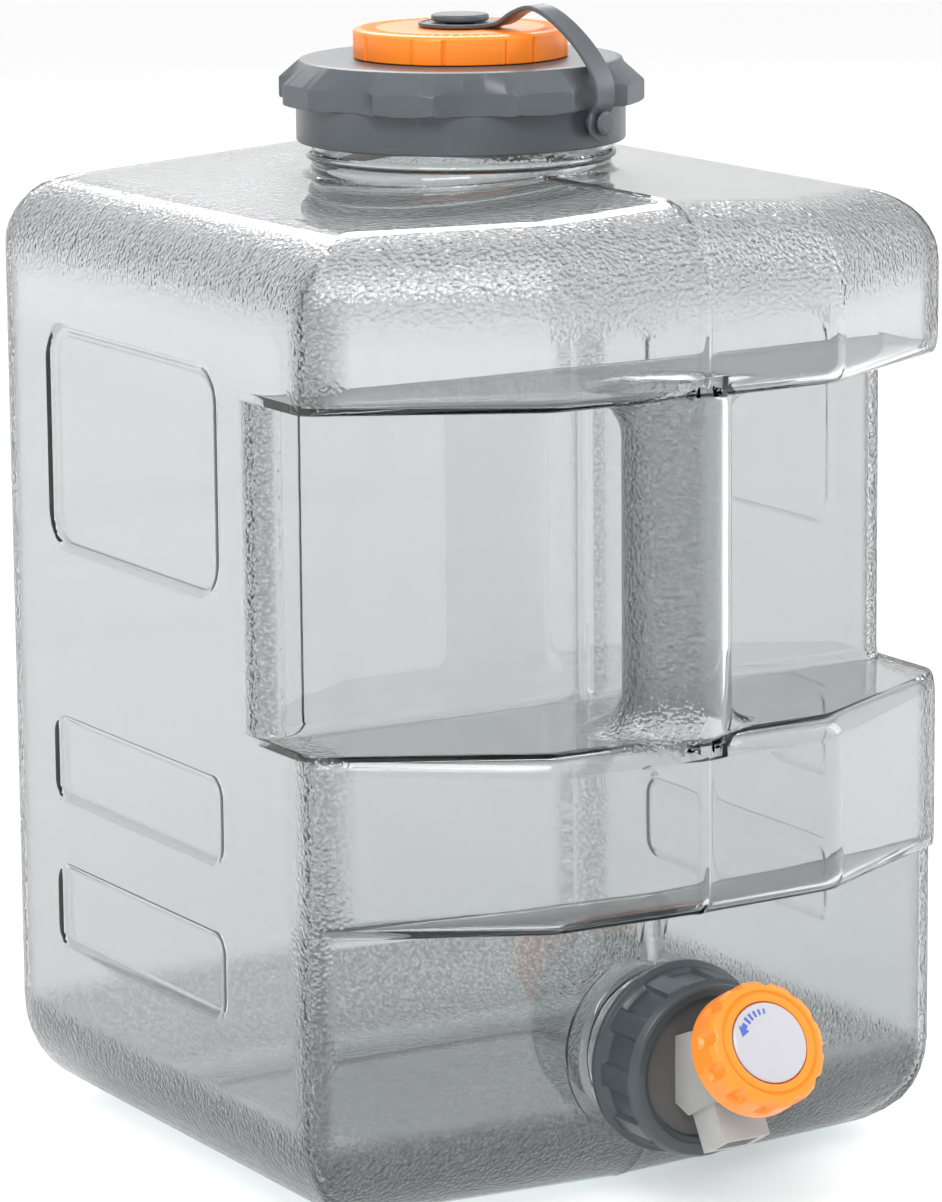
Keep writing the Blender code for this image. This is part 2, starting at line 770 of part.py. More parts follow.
def make_valve_rotor(parent):
    groove = 6.5
    wide = CHAMBER_BORE - GAP
    profile = (
        (CORE_REAR, -6.7),
        (wide, -6.7),
        (wide, 8.6),
        (groove, 8.6),
        (groove, 10.6),
        (wide, 10.6),
        (wide, 12.6),
        (groove, 12.6),
        (groove, 14.6),
        (wide, 14.6),
        (wide, 17.0),
        (STEM_NECK, 17.0),
        (STEM_NECK, 30.8),
        (SCREW_HOLE, 30.8),
        (SCREW_HOLE, 22.0),
        (0.0, 22.0),
        (0.0, 7.0),
        (CORE_REAR, 7.0),
    )
    rotor = on_valve(turned(profile, SMALL_ROUND))
    port = Matrix.Rotation(-pi / 2, 4, "Y")
    cut(rotor, on_valve(placed(disc(4.4, 0.0, 12.0, SMALL_ROUND), port)))
    return piece("valve_rotor", rotor, "white", valve_pivot(), parent)


def make_valve_oring(name, along, parent):
    steps = 6
    middle, thick = 7.45, 0.68
    profile = [
        (middle + thick * cos(2 * pi * k / steps), along + thick * sin(2 * pi * k / steps))
        for k in range(steps)
    ]
    return piece(name, on_valve(turned(profile, SMALL_ROUND)), "black_rubber", valve_pivot(), parent)


def make_tap_knob(parent):
    profile = (
        (KNOB_BORE, KNOB_REAR),
        (KNOB_RADIUS - 0.8, KNOB_REAR),
        (KNOB_RADIUS, KNOB_REAR + 0.8),
        (KNOB_RADIUS, KNOB_FRONT - 2.4),
        (KNOB_RADIUS - 0.8, KNOB_FRONT - 0.8),
        (KNOB_RADIUS - 2.4, KNOB_FRONT),
        (DISC_RADIUS + 0.4, KNOB_FRONT),
        (DISC_RADIUS + 0.4, DISC_SEAT),
        (5.0, DISC_SEAT),
        (5.0, 33.0),
        (SCREW_HOLE, 33.0),
        (SCREW_HOLE, 31.1),
        (4.3, 31.1),
        (4.3, 22.4),
        (8.0, 22.4),
        (8.0, 30.4),
        (KNOB_BORE, 30.4),
    )
    knob = turned(profile, 3 * KNOB_NOTCHES)
    for k in range(KNOB_NOTCHES):
        notch = disc(NOTCH_RADIUS, 27.0, 40.0, 8)
        turn = Matrix.Rotation(2 * pi * (k + 0.5) / KNOB_NOTCHES, 4, "Z")
        placed(notch, turn @ Matrix.Translation(Vector((KNOB_RADIUS + 1.1, 0.0, 0.0))))
        cut(knob, notch)
    return piece("tap_knob", on_valve(knob), "orange", valve_pivot(), parent)


def make_knob_screw(parent):
    profile = (
        (0.0, 23.0),
        (1.6, 23.0),
        (1.6, 33.3),
        (4.4, 33.3),
        (4.4, 34.0),
        (3.4, 34.7),
        (0.0, 34.7),
    )
    return piece("knob_screw", on_valve(turned(profile, SMALL_ROUND)), "steel", valve_pivot(), parent)


def make_knob_cap(parent):
    profile = (
        (0.0, DISC_SEAT + GAP),
        (DISC_RADIUS, DISC_SEAT + GAP),
        (DISC_RADIUS, 36.6),
        (DISC_RADIUS - 0.6, 37.1),
        (0.0, 37.1),
    )
    return piece("knob_cap", on_valve(turned(profile, MID_ROUND)), "white", valve_pivot(), parent)


def valve_pivot():
    return (0.0, *valve_point(0.0, 0.0))


def main():
    clear_scene()
    up = (0.0, 0.0, 1.0)
    forward = (0.0, -1.0, 0.0)
    tilt = radians(VALVE_TILT)
    lid_axis = pivot_empty("lid_axis", (0.0, NECK_Y, LID_PLATE), up)
    tap_axis = pivot_empty("tap_axis", (0.0, TAP_NECK_Y, TAP_Z), forward)
    valve_axis = pivot_empty("valve_axis", valve_pivot(), (0.0, -cos(tilt), sin(tilt)))
    make_jug_body()
    make_lid_gasket(lid_axis)
    make_screw_lid(lid_axis)
    make_strap_stud(lid_axis)
    make_cap_gasket(lid_axis)
    make_pour_cap(lid_axis)
    make_vent_seal(lid_axis)
    make_vent_plug(lid_axis)
    make_retaining_strap(lid_axis)
    make_tap_gasket(tap_axis)
    make_tap_body(tap_axis)
    make_tap_washer(tap_axis)
    make_tap_nut(tap_axis)
    make_valve_gland(tap_axis)
    make_valve_rotor(valve_axis)
    make_valve_oring("valve_oring_inner", 9.6, valve_axis)
    make_valve_oring("valve_oring_outer", 13.6, valve_axis)
    make_tap_knob(valve_axis)
    make_knob_screw(valve_axis)
    make_knob_cap(valve_axis)


main()
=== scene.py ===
# Water jug with grip, screw lid and tap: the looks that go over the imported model
from math import atan2, cos, pi, radians, sin, sqrt

import bmesh
import bpy
import numpy as np
from mathutils import Matrix, Vector


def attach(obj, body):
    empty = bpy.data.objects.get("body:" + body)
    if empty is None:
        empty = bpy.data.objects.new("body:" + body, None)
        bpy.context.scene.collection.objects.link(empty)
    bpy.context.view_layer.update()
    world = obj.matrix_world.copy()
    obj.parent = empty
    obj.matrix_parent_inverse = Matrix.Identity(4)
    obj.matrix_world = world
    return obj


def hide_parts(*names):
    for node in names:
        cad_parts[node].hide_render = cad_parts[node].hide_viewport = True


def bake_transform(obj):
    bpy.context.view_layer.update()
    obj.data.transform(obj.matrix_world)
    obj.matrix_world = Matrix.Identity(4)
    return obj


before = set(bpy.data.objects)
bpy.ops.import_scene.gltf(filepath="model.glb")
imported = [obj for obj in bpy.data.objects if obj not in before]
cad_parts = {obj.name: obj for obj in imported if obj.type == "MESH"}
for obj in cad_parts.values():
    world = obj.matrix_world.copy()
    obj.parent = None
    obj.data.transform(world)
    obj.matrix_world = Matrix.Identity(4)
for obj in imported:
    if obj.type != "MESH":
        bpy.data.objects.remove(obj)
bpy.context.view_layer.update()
mm = 0.001


# Mesh tools, all in millimetres

def linkMesh(name, points, faces):
    mesh = bpy.data.meshes.new(name)
    mesh.from_pydata([(p[0] * mm, p[1] * mm, p[2] * mm) for p in points], [], faces)
    mesh.validate()
    obj = bpy.data.objects.new(name, mesh)
    bpy.context.scene.collection.objects.link(obj)
    return obj


def dress(obj, material, angle=40):
    obj.data.materials.clear()
    obj.data.materials.append(material)
    obj.data.shade_smooth()
    obj.data.set_sharp_from_angle(angle=radians(angle))
    return obj


def finished(obj, body, slot, *nodes):
    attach(obj, body)
    if nodes:
        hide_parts(*nodes)
    return obj


def rowFaces(rows, columns, closed=False, capped=False):
    # quads between rows of points, with each row a closed loop
    faces = []
    for i in range(rows if closed else rows - 1):
        a, b = i * columns, (i + 1) % rows * columns
        for j in range(columns):
            k = (j + 1) % columns
            faces.append((a + j, a + k, b + k, b + j))
    if capped:
        faces.append(tuple(range(columns))[::-1])
        faces.append(tuple(range((rows - 1) * columns, rows * columns)))
    return faces


def softened(profile, steps=4):
    # (radius, height, fillet) corners of a closed outline, as points with the corners rounded
    out = []
    count = len(profile)
    for i, (r, z, fillet) in enumerate(profile):
        here = Vector((r, z))
        back = Vector(profile[i - 1][:2]) - here
        ahead = Vector(profile[(i + 1) % count][:2]) - here
        if fillet <= 0:
            out.append((r, z))
            continue
        half = back.angle(ahead) / 2
        reach = min(fillet / np.tan(half), 0.48 * back.length, 0.48 * ahead.length)
        fillet = reach * np.tan(half)
        middle = here + (back.normalized() + ahead.normalized()).normalized() * fillet / sin(half)
        start = here + back.normalized() * reach - middle
        end = here + ahead.normalized() * reach - middle
        sweep = atan2(start.x * end.y - start.y * end.x, start.dot(end))
        for k in range(steps + 1):
            spot = middle + Matrix.Rotation(sweep * k / steps, 2) @ start
            out.append((spot.x, spot.y))
    return out


def turned(name, profile, steps=96, shape=None):
    # a turned form about Z. shape(angle, r, z) may move each point in or out
    points = []
    for r, z in profile:
        for j in range(steps):
            t = 2 * pi * j / steps
            rr, zz = shape(t, r, z) if shape else (r, z)
            points.append((rr * cos(t), rr * sin(t), zz))
    obj = linkMesh(name, points, rowFaces(len(profile), steps, closed=True))
    welded(obj)
    return obj


def welded(obj, gap=0.004):
    work = bmesh.new()
    work.from_mesh(obj.data)
    bmesh.ops.remove_doubles(work, verts=work.verts, dist=gap * mm)
    bmesh.ops.dissolve_degenerate(work, edges=work.edges, dist=gap * mm)
    bmesh.ops.recalc_face_normals(work, faces=work.faces)
    work.to_mesh(obj.data)
    work.free()


def moved(obj, matrix):
    # moves the mesh itself, with the matrix's distances in millimetres
    scaled = matrix.copy()
    scaled.translation = matrix.translation * mm
    obj.data.transform(scaled)
    return obj


def combined(base, tool, operation):
    modifier = base.modifiers.new("shape", "BOOLEAN")
    modifier.operation = operation
    modifier.solver = "EXACT"
    modifier.object = tool
    graph = bpy.context.evaluated_depsgraph_get()
    mesh = bpy.data.meshes.new_from_object(base.evaluated_get(graph))
    base.modifiers.clear()
    base.data = mesh
    bpy.data.objects.remove(tool)
    return base


def oneMesh(parts):
    # gathers several meshes into the first
    work = bmesh.new()
    for part in parts:
        work.from_mesh(part.data)
    work.to_mesh(parts[0].data)
    work.free()
    for part in parts[1:]:
        bpy.data.objects.remove(part)
    return parts[0]


def smoothStep(low, high, value):
    t = np.clip((value - low) / (high - low), 0, 1)
    return t * t * (3 - 2 * t)


# Camera, light and floor

def makeStage():
    view = {
        "place": (-0.95272, -1.57273, 0.56577), "yaw": -30.61, "dip": 11.42, "roll": -0.50,
        "lens": 162.47,
    }
    yaw, dip, roll = (radians(view[k]) for k in ("yaw", "dip", "roll"))
    ahead = Vector((-sin(yaw) * cos(dip), cos(yaw) * cos(dip), -sin(dip)))
    right = Vector((cos(yaw), sin(yaw), 0))
    up = right.cross(ahead)
    across = cos(roll) * right + sin(roll) * up
    over = cos(roll) * up - sin(roll) * right
    data = bpy.data.cameras.new("camera")
    data.lens = view["lens"]
    data.sensor_height = 36
    data.sensor_width = 36
    data.sensor_fit = "VERTICAL"
    data.clip_end = 50
    camera = bpy.data.objects.new("camera", data)
    bpy.context.scene.collection.objects.link(camera)
    turn = Matrix((across, over, -ahead)).transposed().to_4x4()
    camera.matrix_world = Matrix.Translation(view["place"]) @ turn
    bpy.context.scene.camera = camera
    bpy.context.scene.view_settings.view_transform = "Standard"

    floor = linkMesh(
        "floor", [(-9000, -9000, 0), (9000, -9000, 0), (9000, 9000, 0), (-9000, 9000, 0)],
        [(0, 1, 2, 3)],
    )
    floor.location.z = -0.0004
    floor.data.materials.append(makeFloorPaint())

    lamps = (
        ("keyLamp", (-1.6, -1.5, 2.0), 1.6, 1.1, 50),
        ("fillLamp", (2.1, -0.9, 1.3), 0.9, 1.6, 18),
        ("backLamp", (0.9, 2.2, 1.9), 1.6, 1.0, 30),
    )
    for name, place, wide, high, power in lamps:
        light = bpy.data.lights.new(name, "AREA")
        light.shape = "RECTANGLE"
        light.size = wide
        light.size_y = high
        light.energy = power
        lamp = bpy.data.objects.new(name, light)
        lamp.location = place
        lamp.rotation_euler = (Vector((0, 0, 0.2)) - Vector(place)).to_track_quat("-Z", "Y").to_euler()
        bpy.context.scene.collection.objects.link(lamp)

    world = bpy.data.worlds.new("studio")
    bpy.context.scene.world = world
    world.use_nodes = True
    tree = world.node_tree
    tree.nodes.clear()
    put = lambda kind, **values: placedNode(tree, kind, values)
    coords = put("ShaderNodeTexCoord")
    split = put("ShaderNodeSeparateXYZ")
    tree.links.new(coords.outputs["Generated"], split.inputs[0])
    around = mathNode(tree, "ARCTAN2", split.outputs["Y"], split.outputs["X"])
    swing = mathNode(tree, "COSINE", mathNode(tree, "MULTIPLY_ADD", around, 4.0, 0.9))
    bands = mathNode(tree, "MULTIPLY_ADD", swing, 0.22, 0.86)
    lift = mathNode(tree, "MULTIPLY_ADD", split.outputs["Z"], 0.2, bands)
    path = put("ShaderNodeLightPath")
    dim = mathNode(tree, "MULTIPLY_ADD", path.outputs["Is Diffuse Ray"], -0.04, 1.0)
    strength = put("ShaderNodeMix")
    tree.links.new(path.outputs["Is Camera Ray"], strength.inputs[0])
    tree.links.new(mathNode(tree, "MULTIPLY", lift, dim), strength.inputs[2])
    strength.inputs[3].default_value = 1.0
    light = put("ShaderNodeBackground")
    light.inputs["Color"].default_value = (1, 1, 1, 1)
    tree.links.new(strength.outputs[0], light.inputs["Strength"])
    out = put("ShaderNodeOutputWorld")
    tree.links.new(light.outputs[0], out.inputs[0])
    print("stage ready")


# Node tools

def placedNode(tree, kind, values=None):
    node = tree.nodes.new(kind)
    for key, value in (values or {}).items():
        if hasattr(node, key):
            setattr(node, key, value)
        else:
            node.inputs[key].default_value = value
    return node


def mathNode(tree, operation, *values):
    node = tree.nodes.new("ShaderNodeMath")
    node.operation = operation
    for socket, value in zip(node.inputs, values):
        if isinstance(value, (int, float)):
            socket.default_value = value
        else:
            tree.links.new(value, socket)
    return node.outputs[0]


def colourMix(tree, factor, first, second):
    node = tree.nodes.new("ShaderNodeMix")
    node.data_type = "RGBA"
    for socket, value in ((node.inputs[0], factor), (node.inputs[6], first), (node.inputs[7], second)):
        if isinstance(value, (int, float)):
            socket.default_value = value
        elif isinstance(value, tuple):
            socket.default_value = (*value, 1) if len(value) == 3 else value
        else:
            tree.links.new(value, socket)
    return node.outputs[2]


def noiseNode(tree, where, scale, detail=2.0, rough=0.5):
    node = placedNode(tree, "ShaderNodeTexNoise", {"Scale": scale, "Detail": detail, "Roughness": rough})
    tree.links.new(where, node.inputs["Vector"])
    return node.outputs["Fac"]


def mouldedGroup():
    # fine moulded grain: a height, a slow tone shift and small scuffs, shared by the plastics
    tree = bpy.data.node_groups.new("mouldedGrain", "ShaderNodeTree")
    for name, kind, way in (
        ("Where", "NodeSocketVector", "INPUT"),
        ("Grain Scale", "NodeSocketFloat", "INPUT"),
        ("Base", "NodeSocketColor", "INPUT"),
        ("Worn", "NodeSocketColor", "INPUT"),
        ("Rough", "NodeSocketFloat", "INPUT"),
        ("Colour", "NodeSocketColor", "OUTPUT"),
        ("Roughness", "NodeSocketFloat", "OUTPUT"),
        ("Height", "NodeSocketFloat", "OUTPUT"),
    ):
        tree.interface.new_socket(name=name, in_out=way, socket_type=kind)
    come = tree.nodes.new("NodeGroupInput")
    go = tree.nodes.new("NodeGroupOutput")
    fine = tree.nodes.new("ShaderNodeTexNoise")
    fine.inputs["Detail"].default_value = 3
    tree.links.new(come.outputs["Where"], fine.inputs["Vector"])
    tree.links.new(come.outputs["Grain Scale"], fine.inputs["Scale"])
    slow = noiseNode(tree, come.outputs["Where"], 38, 3)
    scuff = noiseNode(tree, come.outputs["Where"], 210, 5, 0.65)
    marks = mathNode(tree, "MULTIPLY", mathNode(tree, "GREATER_THAN", scuff, 0.66), 0.5)
    tone = mathNode(tree, "MULTIPLY", mathNode(tree, "ADD", slow, -0.35), 1.1)
    tone = mathNode(tree, "MAXIMUM", tone, marks)
    mixed = colourMix(tree, tone, come.outputs["Base"], come.outputs["Worn"])
    tree.links.new(mixed, go.inputs["Colour"])
    spread = mathNode(tree, "MULTIPLY_ADD", fine.outputs["Fac"], 0.12, -0.06)
    tree.links.new(mathNode(tree, "ADD", come.outputs["Rough"], spread), go.inputs["Roughness"])
    tree.links.new(fine.outputs["Fac"], go.inputs["Height"])
    return tree


def emptyMaterial(name):
    material = bpy.data.materials.new(name)
    material.use_nodes = True
    tree = material.node_tree
    tree.nodes.clear()
    shader = tree.nodes.new("ShaderNodeBsdfPrincipled")
    out = tree.nodes.new("ShaderNodeOutputMaterial")
    tree.links.new(shader.outputs[0], out.inputs[0])
    return material, tree, shader


def plastic(name, base, worn, rough=0.38, grain=900.0, bump=0.12, coat=0.0):
    material, tree, shader = emptyMaterial(name)
    coords = tree.nodes.new("ShaderNodeTexCoord")
    group = tree.nodes.new("ShaderNodeGroup")
    group.node_tree = grainGroup
    tree.links.new(coords.outputs["Object"], group.inputs["Where"])
    group.inputs["Grain Scale"].default_value = grain
    group.inputs["Base"].default_value = (*base, 1)
    group.inputs["Worn"].default_value = (*worn, 1)
    group.inputs["Rough"].default_value = rough
    bumper = placedNode(tree, "ShaderNodeBump", {"Strength": bump, "Distance": 0.0002})
    tree.links.new(group.outputs["Height"], bumper.inputs["Height"])
    tree.links.new(group.outputs["Colour"], shader.inputs["Base Color"])
    tree.links.new(group.outputs["Roughness"], shader.inputs["Roughness"])
    tree.links.new(bumper.outputs[0], shader.inputs["Normal"])
    shader.inputs["Coat Weight"].default_value = coat
    shader.inputs["Coat Roughness"].default_value = 0.15
    return material


def makeFloorPaint():
    material, tree, shader = emptyMaterial("paleFloor")
    coords = tree.nodes.new("ShaderNodeTexCoord")
    tone = noiseNode(tree, coords.outputs["Object"], 3.0, 2)
    tree.links.new(
        colourMix(tree, tone, (0.96, 0.96, 0.96), (0.985, 0.985, 0.985)), shader.inputs["Base Color"],
    )
    shader.inputs["Roughness"].default_value = 0.6
    shader.inputs["Specular IOR Level"].default_value = 0.2
    return material


def clearPlastic():
    # smoky clear plastic. The pebble attribute says where the surface is grained. Its colour also holds
    # painted shade: darker at grazing angles, darker where the tone attribute says, and darker in the pebble
    # pits
    look = {
        "tint": (0.71, 0.725, 0.73), "paintedEdgeShadeTint": (0.40, 0.42, 0.42), "paintedShadeTint": (0.46, 0.475, 0.475),
        "pitShadeTint": (0.20, 0.21, 0.21), "rough": 0.015, "pebbleRough": 0.14, "pebbleSize": 680.0,
    }
    material, tree, shader = emptyMaterial("clearPlastic")
    coords = tree.nodes.new("ShaderNodeTexCoord")
    where = coords.outputs["Object"]
    mask = tree.nodes.new("ShaderNodeAttribute")
    mask.attribute_name = "pebble"
    cells = placedNode(
        tree, "ShaderNodeTexVoronoi",
        {"feature": "SMOOTH_F1", "Scale": look["pebbleSize"], "Smoothness": 0.6},
    )
    tree.links.new(where, cells.inputs["Vector"])
    ripple = noiseNode(tree, where, 26, 2)
    grain = mathNode(tree, "MULTIPLY", cells.outputs["Distance"], mask.outputs["Fac"])
    height = mathNode(tree, "MULTIPLY_ADD", ripple, 0.15, grain)
    bumper = placedNode(tree, "ShaderNodeBump", {"Strength": 1.0, "Distance": 0.0004})
    tree.links.new(height, bumper.inputs["Height"])
    tree.links.new(bumper.outputs[0], shader.inputs["Normal"])
    # painted shade at grazing angles: the colour turns darker towards the silhouette, standing in for dark
    # reflections along the edges
    weight = placedNode(tree, "ShaderNodeLayerWeight", {"Blend": 0.35})
    steep = mathNode(tree, "POWER", weight.outputs["Facing"], 2.2)
    # painted shade: where the tone attribute is high, the colour mixes towards a darker tint
    tone = tree.nodes.new("ShaderNodeAttribute")
    tone.attribute_name = "tone"
    body = colourMix(tree, tone.outputs["Fac"], look["tint"], look["paintedShadeTint"])
    edgeShadedColour = colourMix(tree, steep, body, look["paintedEdgeShadeTint"])
    # painted shade in the pits of the pebble grain, stronger where the tone attribute is high
    pit = mathNode(tree, "MULTIPLY_ADD", cells.outputs["Distance"], 4.0, -1.1)
    pit = mathNode(tree, "MINIMUM", mathNode(tree, "MAXIMUM", pit, 0.0), 1.0)
    dark = mathNode(tree, "MULTIPLY_ADD", tone.outputs["Fac"], 0.5, 0.30)
    pitShadeAmount = mathNode(tree, "MULTIPLY", mathNode(tree, "MULTIPLY", pit, mask.outputs["Fac"]), dark)
    tree.links.new(colourMix(tree, pitShadeAmount, edgeShadedColour, look["pitShadeTint"]), shader.inputs["Base Color"])
    rough = mathNode(tree, "MULTIPLY_ADD", mask.outputs["Fac"], look["pebbleRough"], look["rough"])
    tree.links.new(rough, shader.inputs["Roughness"])
    shader.inputs["Transmission Weight"].default_value = 1.0
    shader.inputs["IOR"].default_value = 1.46
    path = tree.nodes.new("ShaderNodeLightPath")
    clear = tree.nodes.new("ShaderNodeBsdfTransparent")
    clear.inputs["Color"].default_value = (0.84, 0.86, 0.86, 1)
    mix = tree.nodes.new("ShaderNodeMixShader")
    out = next(n for n in tree.nodes if n.type == "OUTPUT_MATERIAL")
    tree.links.new(path.outputs["Is Shadow Ray"], mix.inputs[0])
    tree.links.new(shader.outputs[0], mix.inputs[1])
    tree.links.new(clear.outputs[0], mix.inputs[2])
    tree.links.new(mix.outputs[0], out.inputs[0])
    return material


grainGroup = mouldedGroup()


# Jug body

jug = {
    "halfWidth": 125.0, "rear": 161.4, "rearDraft": 3.9, "cornerY": -70.2, "recess": -38.5,
    "base": (-70.2, -75.8, -80.2), "bumper": (-70.2, -112.5, -114.6), "facetX": 54.4,
    "top": 339.0, "bumperLow": 106.2, "bumperHigh": 167.5, "shoulderLow": 279.5,
    "crown": 26.0, "foot": 36.0, "edge": 8.0, "rearCorner": 14.0, "frontCorner": 9.0,
    "wall": 2.8, "floor": 4.5, "panelDepth": 1.5,
    "panels": ((209.8, 286.7, 12.0), (118.5, 147.0, 6.0), (64.7, 92.9, 6.0)), "panelY": (-6.1, 114.8),
    "pushUp": 2.0, "postY": -95.8, "postRadius": 18.2, "flare": 14.0, "steps": 7,
}
neck = {"y": 41.6, "radius": 52.0, "wall": 3.0, "top": 372.0, "bead": 346.2, "pitch": 5.0}
tapLine = {"z": 54.5, "seat": 27.0, "seatY": 92.0, "radius": 24.0, "end": 106.0, "bore": 19.0}


def movedIn(corners, distance):
    # a convex outline with every edge moved in
    lines = []
    for (ax, ay), (bx, by) in zip(corners, corners[1:] + corners[:1]):
        edge = Vector((bx - ax, by - ay)).normalized()
        lines.append((Vector((ax, ay)) + Vector((-edge.y, edge.x)) * distance, edge))
    out = []
    for (p, d), (q, e) in zip(lines[-1:] + lines[:-1], lines):
        across = d.x * e.y - d.y * e.x
        out.append(q if abs(across) < 1e-6 else p + d * (((q.x - p.x) * e.y - (q.y - p.y) * e.x) / across))
    return out


def cornerArc(before, corner, after, radius, steps):
    back, ahead = (before - corner).normalized(), (after - corner).normalized()
    half = back.angle(ahead) / 2
    middle = corner + (back + ahead).normalized() * radius / sin(half)
    start = corner + back * radius / np.tan(half) - middle
    return [middle + Matrix.Rotation((pi - 2 * half) * k / steps, 2) @ start for k in range(steps + 1)]


def sideLines():
    # where the sides carry lines of points: close together around the panels' edges
    low, high = jug["panelY"]
    lines = list(np.arange(low - 3.5, low + 14, 1.4)) + list(np.arange(high - 14, high + 3.6, 1.4))
    lines += list(np.linspace(low + 20, high - 20, 7)) + [132.0, 124.0, -15.0]
    return np.array(sorted(lines, reverse=True))


def outline(depths, inset, share):
    cornerY, facetY, centreY = depths
    w, rear = jug["halfWidth"], jug["rear"]
    corners = [
        (0.0, rear), (-w, rear - jug["rearDraft"]), (-w, cornerY), (-jug["facetX"], facetY),
        (0.0, centreY), (jug["facetX"], facetY), (w, cornerY), (w, rear - jug["rearDraft"]),
    ]
    total = inset + share
    c = movedIn(corners, total)
    rearArc = cornerArc(c[0], c[1], c[2], max(jug["rearCorner"] - total, 1.5), jug["steps"])
    frontArc = cornerArc(c[1], c[2], c[3], max(jug["frontCorner"] - total, 1.5), jug["steps"])
    crease = [c[3] + (c[4] - c[3]) * k / 60 for k in range(4)]
    if facetY != cornerY:
        crease = cornerArc(c[2], c[3], c[4], 14.0, 3)
    half = []
    seam = (0.0, -0.8, -1.6, -4.0)
    for x in seam:
        half.append(c[0].lerp(rearArc[0], x / rearArc[0].x))
    half += [half[3].lerp(rearArc[0], k / 7) for k in range(1, 7)]
    half += rearArc
    ys = sideLines()
    ys = -20 + (ys + 20) * (155 - 0.8 * share) / 155
    half += [Vector((c[1].x, y)) for y in ys]
    half += [Vector((c[1].x, ys[-1] + (frontArc[0].y - ys[-1]) * k / 6)) for k in range(1, 6)]
    half += frontArc
    half += [frontArc[-1].lerp(crease[0], k / 7) for k in range(1, 7)]
    half += crease
    half += [crease[-1].lerp(c[4], k / 6) for k in range(1, 6)]
    half += [crease[-1].lerp(c[4], 1 - x / crease[-1].x) for x in seam[::-1]]
    other = [Vector((-p.x, p.y)) for p in half[1:-1][::-1]]
    return half + other


def ledge(low, high, level, lower, upper):
    rows = []
    reach = abs(high[2] - low[2])
    steps = jug["steps"]
    for radius, first in ((lower, True), (upper, False)):
        for k in range(steps + 1):
            angle = pi / 2 * k / steps
            if first:
                share, height = radius * (1 - cos(angle)) / reach, -radius * (1 - sin(angle))
            else:
                share, height = 1 - radius * (1 - sin(angle)) / reach, radius * (1 - cos(angle))
            rows.append((level + height, tuple(a + (b - a) * share for a, b in zip(low, high)), 0.0))
    return rows


def upLines():
    lines = []
    for low, high, radius in jug["panels"]:
        lines += list(np.arange(low - 3.5, low + radius + 1, 1.4))
        lines += list(np.arange(high - radius - 1, high + 3.6, 1.4))
    return sorted(lines + list(np.arange(40, 312, 9.0)))


def jugRows(inset):
    base, bumper = jug["base"], jug["bumper"]
    recess = (jug["recess"],) * 3
    floor = jug["floor"] if inset else 0.0
    foot, crown = jug["foot"] - inset, jug["crown"] - inset
    outer, inner = jug["edge"] - inset, jug["edge"] / 2 + inset
    steps = jug["steps"] + 2
    rows = []
    for k in range(steps + 1)[::-1]:
        angle = pi / 2 * k / steps
        rows.append((floor + foot * (1 - sin(angle)), base, foot * (1 - cos(angle))))
    rows += ledge(base, bumper, jug["bumperLow"] + inset, inner, outer)
    rows += ledge(bumper, recess, jug["bumperHigh"] - inset, outer, inner)
    rows += ledge(recess, bumper, jug["shoulderLow"] + inset, inner, outer)
    for k in range(steps + 1):
        angle = pi / 2 * k / steps
        rows.append((jug["top"] - inset - crown * (1 - sin(angle)), bumper, crown * (1 - cos(angle))))
    full = [rows[0]]
    for row in rows[1:]:
        last = full[-1]
        if row[1] == last[1] and row[2] == last[2] == 0:
            full += [(z, row[1], 0.0) for z in upLines() if last[0] + 0.6 < z < row[0] - 0.6]
        full.append(row)
    return full


def roundedBox(a, b, centre, half, radius):
    # distance to a rounded rectangle, less than zero inside
    qa, qb = abs(a - centre[0]) - half[0] + radius, abs(b - centre[1]) - half[1] + radius
    return np.hypot(np.maximum(qa, 0), np.maximum(qb, 0)) + np.minimum(np.maximum(qa, qb), 0) - radius


def jugForm(name, inset):
    rows = jugRows(inset)
    loops = [np.array([(p.x, p.y, z) for p in outline(depths, inset, share)]) for z, depths, share in rows]
    hub = np.array((0.0, neck["y"]))
    shrinks = (0.94, 0.88, 0.82, 0.76, 0.7, 0.63, 0.56, 0.48, 0.38, 0.25, 0.12)
    lows, highs = [], []
    for s in shrinks:
        for store, loop in ((lows, loops[0]), (highs, loops[-1])):
            ring = loop.copy()
            ring[:, :2] = hub + (ring[:, :2] - hub) * s
            store.append(ring)
    leans = [share / 30 if z > 200 else 0.0 for z, _, share in rows]
    lean = [-1.0] * len(lows) + leans + [1.0] * len(highs)
    loops = lows[::-1] + loops + highs
    count = len(loops[0])
    p = np.concatenate(loops)
    lean = np.clip(np.repeat(lean, count), -1, 1)
    x, y, z = p[:, 0].copy(), p[:, 1].copy(), p[:, 2].copy()
    onSide = abs(x) > jug["halfWidth"] - inset - 0.9
    for low, high, radius in jug["panels"]:
        mid, half = sum(jug["panelY"]) / 2, (jug["panelY"][1] - jug["panelY"][0]) / 2
        far = roundedBox(y, z, (mid, (low + high) / 2), (half, (high - low) / 2), radius)
        p[:, 0] -= np.sign(x) * onSide * jug["panelDepth"] * smoothStep(1.5, -1.5, far)
    onFloor = lean < -0.5
    far = roundedBox(x, y, (0, 41), (70, 67), 14)
    p[:, 2] += onFloor * jug["pushUp"] * smoothStep(2.5, -2.5, far)
    p[:, 2] += smoothStep(296, 339, z) * (3.6 - 0.06 * abs(x))
    if inset == 0:
        ridge = 0.9 * np.clip(1 - abs(x) / 1.7, 0, 1) * (lean >= 0)
        tip = np.clip(lean, 0, 1) * pi / 2
        p[:, 1] += np.where(y > 20, 1, -1) * ridge * np.cos(tip)
        p[:, 2] += ridge * np.sin(tip)
    obj = linkMesh(name, p.tolist(), rowFaces(len(loops), count, capped=True))
    return obj


